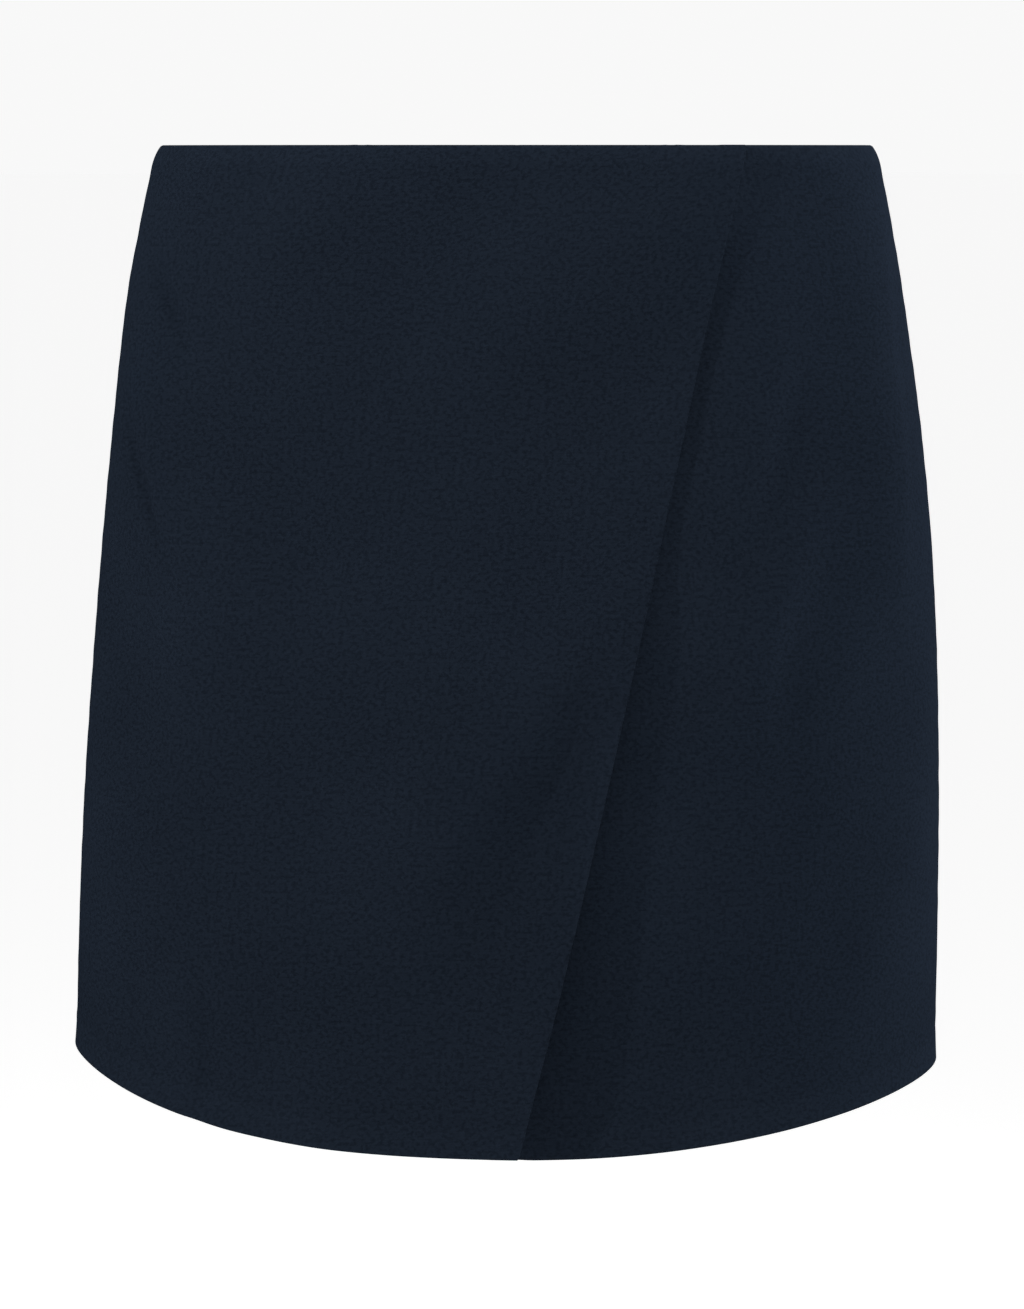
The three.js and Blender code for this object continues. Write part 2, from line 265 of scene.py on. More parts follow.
def wrap_surface(u, v):
    """u from the right side seam to the free edge, v from waist to hem."""

    def edge_angle(z):
        x = mix(FREE_EDGE_TOP, FREE_EDGE_BOTTOM, -z / LENGTH)
        return math.pi - angle_at(x / body_line(z).left)

    z = v * front_hem(HEMS["right"], u * edge_angle(np.full_like(u, -LENGTH)))
    angle = u * edge_angle(z)
    x = front_point(angle, z, 0)[..., 0]
    over_under = LAYER * smooth(LAYER_FROM, LAYER_FULL, x)
    return front_point(angle, z, over_under + edge_lift(u, v))


def under_surface(u, v):
    """u from the left side seam to its hidden edge, v from waist to hem."""

    def hidden_angle(z):
        return angle_at(UNDER_EDGE / body_line(z).right)

    z = v * front_hem(HEMS["left"], mix(math.pi, hidden_angle(np.full_like(u, -LENGTH)), u))
    z = z * (1 - HIDDEN_RISE / LENGTH * smooth(HIDDEN_FROM, HIDDEN_FULL, u))
    return front_point(mix(math.pi, hidden_angle(z), u), z, 0)


def shorts_surface(side, face):
    """u from the side seam to the centre seam and inseam, v from waist to hem."""
    hem = -HEMS[side].side
    turn_start, leg_start = 0.42, 0.8

    def surface(u, v):
        rise = RISE_TURN[face]
        turn_share = np.clip((v - turn_start) / (leg_start - turn_start), 0, 1)
        under = np.sin(turn_share * math.pi / 2)
        leg_share = np.clip((v - leg_start) / (1 - leg_start), 0, 1)
        turning = mix(mix(rise, CROTCH, under), hem, leg_share)
        z = np.where(v < turn_start, v / turn_start * rise, turning)
        inset = LAYER + SHORTS_EASE * smooth(0, 1, z / hem) if face == "front" else 0
        line = body_line(z)
        half = getattr(line, side) - inset
        inseam = INSEAM_SPREAD * np.sin(leg_share * math.pi / 2)
        x = mix(half, inseam, (1 - np.cos(math.pi * u)) / 2)
        crest = THIGH_CREST * half
        to_middle = np.clip((crest - x) / (crest - inseam), 0, 1)
        turned = mix(np.sin(under * math.pi / 2), under, to_middle**1.5)
        kept = np.clip(1 - (turned * to_middle) ** THIGH_ROUNDNESS, 0, 1) ** (1 / THIGH_ROUNDNESS)
        depth = (getattr(line, face) - inset) * round_depth(x / half) * kept
        return np.stack(
            [x if side == "left" else -x, -depth if face == "front" else depth, z], axis=-1
        )

    return surface


# ---------------------------------------------------------------- cloth with its creases


def crease_depth(name, x, z):
    """Sum of the panel's troughs and ridges."""
    total = np.zeros_like(x)
    for c in CREASES[name]:
        dx, dz = c.x1 - c.x0, c.z1 - c.z0
        length = math.hypot(dx, dz)
        along = ((x - c.x0) * dx + (z - c.z0) * dz) / length**2
        aside = ((x - c.x0) * dz - (z - c.z0) * dx) / length
        aside = aside - c.bow * 4 * along * (1 - along)
        reach = np.where(aside > 0, c.left, c.right) * (1 + c.spread * np.clip(along, 0, 1.2))
        ends = smooth(*FADE_IN, along) * (1 - smooth(*FADE_OUT, along))
        total += c.depth * ends * np.exp(-((aside / reach) ** 2))
    return total


def wrap_lift(x, z):
    """How far the wrap's free side stands off the panel under it."""
    line = body_line(z)

    def angle(place):
        share = place / np.where(place < 0, line.right, line.left)
        return math.pi - angle_at(share)

    free_edge = mix(FREE_EDGE_TOP, FREE_EDGE_BOTTOM, -z / LENGTH)
    u = np.clip(angle(x) / angle(free_edge), 0, 1)
    return edge_lift(u, np.clip(-z / HEMS["right"].front, 0, 1))


def pressed_in(name, x, z):
    """What an under layer takes over from the troughs of the layers that lie on it."""
    free_edge = mix(FREE_EDGE_TOP, FREE_EDGE_BOTTOM, -z / LENGTH)
    covered = 1 - smooth(free_edge - 2, free_edge + 12, x)
    wrap = covered * np.minimum(crease_depth("front_wrap_panel", x, z) + wrap_lift(x, z), 0)
    if name == "front_under_panel":
        return wrap
    under = np.minimum(crease_depth("front_under_panel", x, z) * (x > -UNDER_EDGE), 0)
    return SHORTS_FOLLOW * np.minimum(wrap + under, 0)


def unevenness(points, seed):
    """Slow, shallow waves, as worn cloth has all over."""
    x, y, z = points[..., 0], points[..., 1], points[..., 2]
    waves = np.zeros_like(x)
    draws = np.random.default_rng(seed)
    for wave in range(WAVE_COUNT):
        size = draws.uniform(*WAVE_SIZES)
        lean = draws.uniform(-WAVE_LEAN, WAVE_LEAN)
        phase = draws.uniform(0, 2 * math.pi)
        way = (x + 0.6 * y) * math.cos(lean) + z * math.sin(lean) * 0.8
        waves += WAVE_SLOPE * size * np.sin(2 * math.pi * way / size + phase)
    return waves


def dart_groove(name, x, z):
    """Sewn darts below the back waist: narrow grooves that run out to nothing."""
    total = np.zeros_like(x)
    for dart in BACK_DARTS.get(name, []):
        share = np.clip(-z / dart.length, 0, 1)
        aside = x - mix(dart.x_top, dart.x_point, share)
        fade = 1 - smooth(0.75, 1.0, share)
        total -= DART_GROOVE["depth"] * fade * np.exp(-((aside / DART_GROOVE["width"]) ** 2))
        total += DART_SWELL["height"] * fade * np.exp(-((aside / DART_SWELL["width"]) ** 2))
    return total


Edges = namedtuple("Edges", "first last top hem")


def edge_distances(points):
    """Distance in the cloth from each place to the first and last column and row."""
    across = np.linalg.norm(np.diff(points, axis=1), axis=2)
    down = np.linalg.norm(np.diff(points, axis=0), axis=2)
    from_first = np.pad(np.cumsum(across, axis=1), ((0, 0), (1, 0)))
    from_top = np.pad(np.cumsum(down, axis=0), ((1, 0), (0, 0)))
    return Edges(from_first, from_first[:, -1:] - from_first, from_top, from_top[-1:] - from_top)


def grid_normals(points, turn):
    across = np.gradient(points, axis=1)
    down = np.gradient(points, axis=0)
    normals = np.cross(across, down) * turn
    return normals / np.maximum(np.linalg.norm(normals, axis=2, keepdims=True), 1e-9)


def spaced(count, end, reach=12):
    """Places from 0 to 1, with steps end times the usual one at both ends."""
    step = np.arange(count) + 0.5
    steps = 1 - (1 - end) * np.exp(-step / reach) - (1 - end) * np.exp(-(count - step) / reach)
    return np.concatenate([[0], np.cumsum(steps) / steps.sum()])


def border_loop(rows, columns):
    """The grid's border, once round, as row and column numbers."""
    top = [(0, c) for c in range(columns - 1, 0, -1)]
    first = [(r, 0) for r in range(rows - 1)]
    foot = [(rows - 1, c) for c in range(columns - 1)]
    last = [(r, columns - 1) for r in range(rows - 1, 0, -1)]
    return np.array(top + first + foot + last).T


def lengthways(vectors):
    return vectors / np.maximum(np.linalg.norm(vectors, axis=-1, keepdims=True), 1e-9)


def shell_mesh(name, outer, inner, bulge, turn, uv, pressed):
    """A closed shell between two grids. bulge says how round its edges are: 0 is flat."""
    rows, columns = outer.shape[:2]
    r, c = border_loop(rows, columns)
    away = np.zeros_like(outer)
    away[:, 0] -= lengthways(np.gradient(outer, axis=1)[:, 0])
    away[:, -1] += lengthways(np.gradient(outer, axis=1)[:, -1])
    away[0] = -lengthways(np.gradient(outer, axis=0)[0])
    away[-1] = lengthways(np.gradient(outer, axis=0)[-1])
    middle = (outer[r, c] + inner[r, c]) / 2
    half = (outer[r, c] - inner[r, c]) / 2
    swell = away[r, c] * np.linalg.norm(half, axis=1, keepdims=True) * bulge[r, c][:, None]
    rings = [
        middle + half * math.cos(angle) + swell * math.sin(angle)
        for angle in np.linspace(0, math.pi, 6)[1:-1]
    ]
    points = np.concatenate([outer.reshape(-1, 3), inner.reshape(-1, 3), *rings]) * MM
    number = np.arange(rows * columns).reshape(rows, columns)
    a, b = number[:-1, :-1].ravel(), number[:-1, 1:].ravel()
    d, e = number[1:, 1:].ravel(), number[1:, :-1].ravel()
    size = rows * columns
    quads = [np.stack([a, b, d, e], 1), np.stack([e, d, b, a], 1) + size]
    loops = [number[r, c]]
    loops += [2 * size + k * len(r) + np.arange(len(r)) for k in range(len(rings))]
    loops += [number[r, c] + size]
    for ring, following in zip(loops, loops[1:]):
        quads.append(
            np.stack([ring, np.roll(ring, -1), np.roll(following, -1), following], 1)
        )
    faces = np.concatenate(quads)
    if turn < 0:
        faces = faces[:, ::-1]
    flat = uv.reshape(-1, 2)
    uvs = np.concatenate([flat, flat, *[uv[r, c]] * len(rings)]) * MM
    mesh = bpy.data.meshes.new(name)
    mesh.vertices.add(len(points))
    mesh.vertices.foreach_set("co", points.ravel())
    mesh.loops.add(faces.size)
    mesh.loops.foreach_set("vertex_index", faces.ravel())
    mesh.polygons.add(len(faces))
    mesh.polygons.foreach_set("loop_start", np.arange(0, faces.size, 4))
    mesh.polygons.foreach_set("use_smooth", np.ones(len(faces), dtype=bool))
    layer = mesh.uv_layers.new(name="cut")
    layer.data.foreach_set("uv", uvs[faces.ravel()].ravel())
    mesh.update(calc_edges=True)
    mesh.validate()
    flat = pressed.ravel()
    # Mask of the turned hem and waist strips, which the twill paints lighter as a painted
    # highlight.
    turning_highlight_mask = np.concatenate([flat, flat, *[pressed[r, c]] * len(rings)])
    mesh.attributes.new("pressed", "FLOAT", "POINT").data.foreach_set("value", turning_highlight_mask)
    return mesh


Panel = namedtuple("Panel", "surface columns rows turn last seed waves")
UNDER_LAYERS = ("front_under_panel", "shorts_front_right", "shorts_front_left")
# last says what the last column is: the centre seam, a turned edge or a raw one. The first column
# is always a side seam.
PANELS = {
    "front_wrap_panel": Panel(wrap_surface, 186, 220, -1, "turned", 11, 0.35),
    "front_under_panel": Panel(under_surface, 160, 220, 1, "raw", 11, 0.35),
    "shorts_front_right": Panel(shorts_surface("right", "front"), 84, 180, -1, "centre", 11, 0.35),
    "shorts_front_left": Panel(shorts_surface("left", "front"), 84, 180, 1, "centre", 11, 0.35),
    "shorts_back_right": Panel(shorts_surface("right", "back"), 124, 240, 1, "centre", 53, 1.2),
    "shorts_back_left": Panel(shorts_surface("left", "back"), 124, 240, -1, "centre", 67, 1.2),
}


def drape(name, points, panel, edges):
    """How far both sides of the cloth stand out from the panel's plain form."""
    x, z = points[..., 0], points[..., 2]
    sewn = np.minimum(edges.first, edges.last if panel.last == "centre" else 1000)
    inside = smooth(0, 14, sewn) * smooth(0, 10, edges.top)
    creases = crease_depth(name, x, z) * smooth(4, SIDE_FADE, edges.first)
    if name in UNDER_LAYERS:
        creases += pressed_in(name, x, z)
    out = creases * inside
    out += panel.waves * unevenness(points, panel.seed) * inside
    out -= WAIST_ROLL * (1 - np.sqrt(1 - np.clip(1 - edges.top / WAIST_ROLL_LENGTH, 0, 1) ** 2))
    kick = HEM_BEND * np.log1p(np.exp((HEM_TURNING - 1 - edges.hem) / HEM_BEND))
    out += HEM_KICK * kick * smooth(0, 30, sewn)
    pucker = np.sin(z * 0.42 + panel.seed) * np.sin(z * 0.13 + 2 * panel.seed)
    out += PUCKER * pucker * np.exp(-((sewn / 8) ** 2)) * smooth(0, 3, sewn)
    return out


def face_detail(name, points, panel, edges):
    """How far the face of the cloth stands out at seams, darts and turned edges."""
    x, z = points[..., 0], points[..., 2]
    sewn = np.minimum(edges.first, edges.last if panel.last == "centre" else 1000)
    rolled = np.clip(1 - sewn / SEAM_ROLL, 0, 1)
    out = dart_groove(name, x, z) - SEAM_ROLL * (1 - np.sqrt(1 - rolled**2))
    out += ALLOWANCE_SWELL * np.exp(-(((sewn - 4) / 3) ** 2)) * smooth(0, 6, edges.top)
    out += TURNING_SWELL * (1 - smooth(HEM_TURNING - 2.2, HEM_TURNING + 1.2, edges.hem))
    out -= STITCH_DENT * np.exp(-(((edges.hem - HEM_TURNING) / 1.1) ** 2))
    if panel.last == "turned":
        out += EDGE_SWELL * (1 - smooth(HEM_TURNING - 2, HEM_TURNING + 2, edges.last))
    return out


def cloth_thickness(panel, edges):
    """One layer, and more where an edge is turned in or a seam allowance lies inside."""

    def strip(width, distance):
        return 1 - smooth(width - 0.7, width + 0.3, distance)

    turned = np.maximum(strip(HEM_TURNING, edges.hem), strip(WAIST_TURNING, edges.top))
    turned = np.maximum(turned, strip(SEAM_ALLOWANCE, edges.first))
    if panel.last == "centre":
        turned = np.maximum(turned, strip(SEAM_ALLOWANCE, edges.last))
    if panel.last == "turned":
        turned = np.maximum(turned, strip(HEM_TURNING, edges.last))
    return CLOTH + TURNING * turned


# What each panel is cut to, seam allowances and turned edges included: its greatest width and
# length, and the share of that rectangle that the cut fills
Cut = namedtuple("Cut", "width length share")
CUTS = {
    "front_wrap_panel": Cut(303, 410, 0.944),
    "front_under_panel": Cut(302, 408, 0.938),
    "shorts_front_right": Cut(315, 382, 0.801),
    "shorts_front_left": Cut(311, 389, 0.807),
    "shorts_back_right": Cut(341, 382, 0.807),
    "shorts_back_left": Cut(337, 389, 0.812),
}


Cloth = namedtuple("Cloth", "piece base normals edges")


def make_panel(name):
    panel = PANELS[name]
    u, v = np.meshgrid(
        spaced(panel.columns, END_STEPS["columns"]), spaced(panel.rows, END_STEPS["rows"])
    )
    plain = panel.surface(u, v)
    edges = edge_distances(plain)
    normals = grid_normals(plain, panel.turn)
    base = plain + normals * drape(name, plain, panel, edges)[..., None]
    normals = grid_normals(base, panel.turn)
    outer = base + normals * face_detail(name, plain, panel, edges)[..., None]
    inner = base - normals * cloth_thickness(panel, edges)[..., None]
    bulge = np.full(u.shape, EDGE_BULGE)
    bulge[1:-1, 0] = 0
    if panel.last == "centre":
        bulge[1:-1, -1] = 0
    uv = np.stack([edges.first, -edges.top], axis=-1)
    # The turned hem and waist strips. The twill paints them lighter as a painted highlight for the
    # light their edges catch.
    pressed = 1 - smooth(-1, 1, edges.hem - HEM_TURNING) * smooth(-2, 2, edges.top - WAIST_TURNING)
    mesh = shell_mesh(name + "_cloth", outer, inner, bulge, panel.turn, uv, pressed)
    piece = bpy.data.objects.new(name + "_cloth", mesh)
    bpy.context.scene.collection.objects.link(piece)
    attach(piece, "garment")
    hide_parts(name)
    cut = CUTS[name]
    cut.width * MM
    cut.width * cut.length * cut.share * MM * MM
    return Cloth(piece, base, normals, edges)


# ---------------------------------------------------------------- materials


class Value:
    """A socket that adds Math nodes when it is used in an expression."""

    def __init__(self, tree, socket):
        self.tree = tree
        self.socket = socket

    def maths(self, operation, *others):
        return self.tree.node("ShaderNodeMath", {"operation": operation}, self, *others)

    def __add__(self, other):
        return self.maths("ADD", other)

    __radd__ = __add__

    def __mul__(self, other):
        return self.maths("MULTIPLY", other)

    __rmul__ = __mul__

    def __sub__(self, other):
        return self.maths("SUBTRACT", other)

    def __rsub__(self, other):
        return self.tree.node("ShaderNodeMath", {"operation": "SUBTRACT"}, other, self)

    def sine(self):
        return self.maths("SINE")

    def at_least(self, low):
        return self.maths("MAXIMUM", low)

    def at_most(self, high):
        return self.maths("MINIMUM", high)


class Finish:
    """A material that is built up node by node."""

    def __init__(self, name):
        self.material = bpy.data.materials.new(name)
        self.material.use_nodes = True
        self.nodes = self.material.node_tree.nodes
        self.links = self.material.node_tree.links
        self.shader = self.nodes["Principled BSDF"]

    def node(self, kind, settings, *inputs, output=0, **named):
        """Adds a node: its settings first, then the values or links of its sockets."""
        made = self.nodes.new(kind)
        for key, setting in settings.items():
            setattr(made, key, setting)
        for place, given in enumerate(inputs):
            self.put(made.inputs[place], given)
        for name, given in named.items():
            self.put(made.inputs[name.replace("_", " ")], given)
        return Value(self, made.outputs[output])

    def put(self, socket, given):
        if isinstance(given, Value):
            self.links.new(given.socket, socket)
        else:
            socket.default_value = given

    def set(self, **sockets):
        for name, given in sockets.items():
            self.put(self.shader.inputs[name.replace("_", " ")], given)


def mix_colour(finish, share, first, second):
    made = finish.nodes.new("ShaderNodeMix")
    made.data_type = "RGBA"
    finish.put(made.inputs[0], share)
    finish.put(made.inputs[6], first)
    finish.put(made.inputs[7], second)
    return Value(finish, made.outputs[2])


NAVY_DEEP = (0.0026, 0.0037, 0.0059, 1)
NAVY_LIGHT_END = (0.0102, 0.0149, 0.0236, 1)
CREPE_SCALE = 640        # crimped yarns, about one and a half millimetres apart
YARN_PITCH = 0.00062     # these two in metres
TAPE_RIB = 0.0011
WEAVE_CONTRAST = 0.62
CLOUD_CONTRAST = 0.3
TURNING_PAINTED_HIGHLIGHT = 0.05     # painted highlight: how much lighter the turned hem and waist strips are painted, for the light they catch
TONE = 0.045


def navy_twill():
    """Fine matte twill with a crimped, slightly crepy face. It follows the cut's own grain."""
    finish = Finish("navy_twill")
    cut = finish.node("ShaderNodeUVMap", {"uv_map": "cut"})
    flattened = finish.node("ShaderNodeMapping", {}, Vector=cut, Scale=(0.9, 1.1, 1))
    down = finish.node("ShaderNodeSeparateXYZ", {}, cut, output=1)
    crepe = finish.node(
        "ShaderNodeTexNoise", {}, Vector=flattened, Scale=CREPE_SCALE, Detail=2.0, Roughness=0.6
    )
    crimp = finish.node("ShaderNodeTexNoise", {}, Vector=flattened, Scale=270.0, Detail=2.0)
    cloud = finish.node("ShaderNodeTexNoise", {}, Vector=cut, Scale=14.0, Detail=4.0)
    worm = ((crepe * 2.6 + crimp * 1.6) * (2 * math.pi)).sine() * 0.5 + 0.5
    yarn = (down * (2 * math.pi / YARN_PITCH) + crimp * 5.0).sine() * 0.5 + 0.5
    weave = worm * 0.2 + (crepe - 0.5) * 1.5 + 0.3 + yarn * 0.2
    pressed = finish.node("ShaderNodeAttribute", {"attribute_name": "pressed"}, output=2)
    # The pressed mask is painted lighter. This is a painted highlight for the light caught by the
    # turned hem's flare and the waist's rolled edge.
    tone = weave * WEAVE_CONTRAST + pressed * TURNING_PAINTED_HIGHLIGHT + cloud * CLOUD_CONTRAST + TONE
    height = finish.node("ShaderNodeBump", {}, Strength=0.26, Distance=0.0002, Height=weave)
    finish.set(
        Base_Color=mix_colour(finish, tone.at_least(0.0).at_most(1.0), NAVY_DEEP, NAVY_LIGHT_END),
        Roughness=0.8 + 0.12 * crepe,
        Normal=height,
        Specular_IOR_Level=0.0,
    )
    return finish.material


def navy_enamel():
    """Satin enamel over cast zinc, with a fine grain."""
    finish = Finish("navy_enamel")
    place = finish.node("ShaderNodeTexCoord", {}, output=3)
    grain = finish.node("ShaderNodeTexNoise", {}, Vector=place, Scale=900.0, Detail=4.0)
    colour = mix_colour(finish, grain, (0.006, 0.010, 0.018, 1), (0.012, 0.017, 0.028, 1))
    bump = finish.node("ShaderNodeBump", {}, Strength=0.15, Distance=0.0001, Height=grain)
    finish.set(
        Base_Color=colour, Roughness=0.44 + 0.12 * grain, Normal=bump, Specular_IOR_Level=0.25
    )
    return finish.material


def zip_tape_weave():
    """Close woven tape with fine ribs along it."""
    finish = Finish("zip_tape_weave")
    cut = finish.node("ShaderNodeUVMap", {"uv_map": "cut"})
    across = finish.node("ShaderNodeSeparateXYZ", {}, cut)
    down = finish.node("ShaderNodeSeparateXYZ", {}, cut, output=1)
    ribs = (across * (2 * math.pi / TAPE_RIB)).sine() * 0.5 + 0.5
    picks = (down * (2 * math.pi / YARN_PITCH)).sine() * 0.5 + 0.5
    fibre = finish.node("ShaderNodeTexNoise", {}, Vector=cut, Scale=1400.0, Detail=3.0)
    height = ribs * 0.6 + picks * 0.3 + fibre * 0.3
    bump = finish.node("ShaderNodeBump", {}, Strength=0.5, Distance=0.0002, Height=height)
    finish.set(
        Base_Color=mix_colour(finish, height * 0.5, NAVY_DEEP, NAVY_LIGHT_END),
        Roughness=0.8 + 0.15 * fibre,
        Normal=bump,
        Specular_IOR_Level=0.0,
    )
    return finish.material


def coil_nylon():
    """Moulded nylon wire, smooth with a faint grain."""
    finish = Finish("coil_nylon")
    place = finish.node("ShaderNodeTexCoord", {}, output=3)
    grain = finish.node("ShaderNodeTexNoise", {}, Vector=place, Scale=1600.0, Detail=3.0)
    colour = mix_colour(finish, grain, (0.004, 0.006, 0.010, 1), (0.010, 0.014, 0.022, 1))
    bump = finish.node("ShaderNodeBump", {}, Strength=0.1, Distance=0.0001, Height=grain)
    finish.set(
        Base_Color=colour, Roughness=0.35 + 0.1 * grain, Normal=bump, Specular_IOR_Level=0.2
    )
    return finish.material


# ---------------------------------------------------------------- zip

# Its pieces are shaped lying flat, x across, y up the seam and z out of it, with 0 on the seam at
# ZIP_PLACE, and are then set against the back. The drop hangs on a bar through the slider's bridge.
ZIP_PLACE = (0, 100.08, -9)
ZIP_LEAN = math.atan2(0.2263, 0.9740)
HINGE_OUT = 2.3
SLIDER = {"width": 5.2, "length": 8.8, "middle": -0.2, "low": 0.3, "high": 1.25, "corner": 1.6}
SLIDER_RIM = {"inset": 0.75, "depth": 0.2, "slope": 0.3}
BRIDGE = {"width": 1.5, "outer": 2.3, "hollow": 1.35, "foot": 0.85}
DROP = {"half": 2.7, "neck": 2.2, "top": 0.45, "shoulder": -3.2, "waist": -4.4, "panel_end": -12.2}
DROP_END = -17
DROP_LOW, DROP_HIGH = 1.8, 2.8
DROP_RECESS = {"inset": 0.85, "depth": 0.28}
DROP_ROUNDING = 0.98     # of its half width
WINDOW = {"half": 1.2, "top": -0.45, "foot": -3.0}
EYE = {"radius": 1.0, "y": -14.3}
CUTTER = 4               # longer than the drop is thick
EDGE_SOFTENING = 0.16


def edit(piece):
    bpy.ops.object.select_all(action="DESELECT")
    bpy.context.view_layer.objects.active = piece
    piece.select_set(True)
    bpy.ops.object.mode_set(mode="EDIT")
    bpy.ops.mesh.select_all(action="DESELECT")


def pick(piece, kind, test):
    """In edit mode, selects the faces, edges or vertices whose middle in mm passes the test."""
    bpy.ops.mesh.select_mode(type=kind)
    bpy.ops.mesh.select_all(action="DESELECT")
    form = bmesh.from_edit_mesh(piece.data)
    for part in {"FACE": form.faces, "EDGE": form.edges, "VERT": form.verts}[kind]:
        corners = [part.co] if kind == "VERT" else [corner.co for corner in part.verts]
        middle = sum(corners, Vector()) / len(corners) / MM
        part.select_set(bool(test(middle, part)))
    form.select_flush_mode()
    bmesh.update_edit_mesh(piece.data)


def close_up(piece):
    """Merges doubled vertices, turns every face outwards and ends the edit."""
    bpy.ops.mesh.select_mode(type="FACE")
    bpy.ops.mesh.select_all(action="SELECT")
    bpy.ops.mesh.remove_doubles(threshold=0.001 * MM)
    bpy.ops.mesh.select_all(action="SELECT")
    bpy.ops.mesh.normals_make_consistent(inside=False)
    bpy.ops.object.mode_set(mode="OBJECT")


def start(primitive, name, **settings):
    bpy.ops.object.select_all(action="DESELECT")
    getattr(bpy.ops.mesh, primitive)(**settings)
    piece = bpy.context.object
    piece.name = name
    return piece


def sized(piece, x, y, z):
    piece.scale = (x * MM, y * MM, z * MM)
    bpy.ops.object.transform_apply(location=True, rotation=True, scale=True)


def push(x=0, y=0, z=0):
    return {"value": (x * MM, y * MM, z * MM)}


def combine(piece, other, operation):
    """Joins another piece to this one, or cuts it out of it."""
    modifier = piece.modifiers.new("combine", "BOOLEAN")
    modifier.object = other
    modifier.operation = operation
    modifier.solver = "EXACT"
    bpy.ops.object.select_all(action="DESELECT")
    bpy.context.view_layer.objects.active = piece
    piece.select_set(True)
    bpy.ops.object.modifier_apply(modifier=modifier.name)
    bpy.data.objects.remove(other)


def finish_piece(piece, body, node):
    """Softens the edges, sets the piece against the back and gives it its body and finish."""
    bpy.ops.object.select_all(action="DESELECT")
    bpy.context.view_layer.objects.active = piece
    piece.select_set(True)
    rounding = piece.modifiers.new("rounding", "BEVEL")
    rounding.width = EDGE_SOFTENING * MM
    rounding.segments = 3
    rounding.limit_method = "ANGLE"
    rounding.angle_limit = math.radians(38)
    bpy.ops.object.modifier_apply(modifier=rounding.name)
    bpy.ops.object.shade_smooth_by_angle(angle=math.radians(40))
    piece.matrix_world = (
        Matrix.Translation([place * MM for place in ZIP_PLACE])
        @ Matrix.Rotation(math.pi, 4, "Z")
        @ Matrix.Rotation(math.pi / 2 - ZIP_LEAN, 4, "X")
    )
    bpy.ops.object.transform_apply(location=True, rotation=True, scale=True)
    piece.data.name = piece.name
    piece.data.materials.clear()
    piece.data.materials.append(enamel)
    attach(piece, body)
    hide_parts(node)


def make_slider():
    middle = (SLIDER["low"] + SLIDER["high"]) / 2
    plate = start(
        "primitive_cube_add",
        "zip_slider_body",
        size=1,
        location=(0, SLIDER["middle"] * MM, middle * MM),
    )
    sized(plate, SLIDER["width"], SLIDER["length"], SLIDER["high"] - SLIDER["low"])
    edit(plate)

    def upright(at, edge):
        way = edge.verts[1].co - edge.verts[0].co
        return abs(way.z) > 0.9 * way.length

    pick(plate, "EDGE", upright)
    bpy.ops.mesh.bevel(offset=SLIDER["corner"] * MM, segments=6, profile=0.5, affect="EDGES")
    pick(plate, "FACE", lambda at, face: face.normal.z > 0.9)
    bpy.ops.mesh.inset(thickness=SLIDER_RIM["inset"] * MM, depth=0)
    bpy.ops.transform.translate(**push(z=-SLIDER_RIM["depth"]))
    bpy.ops.mesh.inset(thickness=SLIDER_RIM["slope"] * MM, depth=0)
    bpy.ops.transform.translate(**push(z=SLIDER_RIM["depth"]))
    close_up(plate)

    across = (BRIDGE["outer"] + BRIDGE["hollow"]) / 2
    arch = start(
        "primitive_plane_add", "bridge", size=1, location=(0, across * MM, BRIDGE["foot"] * MM)
    )
    sized(arch, BRIDGE["width"], BRIDGE["outer"] - BRIDGE["hollow"], 1)
    edit(arch)
    bpy.ops.mesh.select_all(action="SELECT")
    leg = HINGE_OUT - BRIDGE["foot"]
    bpy.ops.mesh.extrude_region_move(TRANSFORM_OT_translate=push(z=leg))
    bpy.ops.mesh.spin(
        steps=14, angle=-math.pi, center=(0, 0, HINGE_OUT * MM), axis=(1, 0, 0)
    )
    bpy.ops.mesh.extrude_region_move(TRANSFORM_OT_translate=push(z=-leg))
    close_up(arch)
    combine(plate, arch, "UNION")
    finish_piece(plate, "garment", "zip_slider")
    return plate


